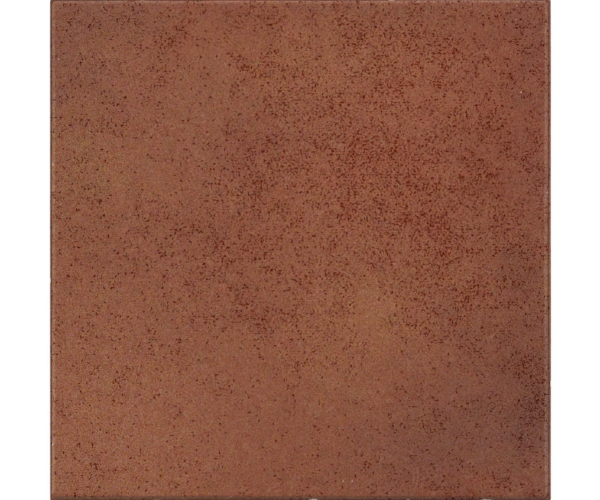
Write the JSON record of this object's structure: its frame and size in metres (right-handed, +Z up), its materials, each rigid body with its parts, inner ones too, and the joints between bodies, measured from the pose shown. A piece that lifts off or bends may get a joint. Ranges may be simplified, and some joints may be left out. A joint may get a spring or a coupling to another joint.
{
  "type": "porcelain floor tile",
  "caption": "Square glazed porcelain floor tile with a rolled arris, a narrow ledge round its raised wear face, and a keyed back of pressed square cells.",
  "frame": {"origin": "centre of the back, on the plane that the ribs and the border bed on", "axes": "+Z up out of the wear face; +X and +Y along the sides, with +Y towards the top of the picture"},
  "size_m": [0.33, 0.33, 0.0085],
  "materials": {
    "glazed_porcelain": "satin"
  },
  "bodies": {
    "root": {"floor_tile": "glazed_porcelain"}
  },
  "joints": []
}
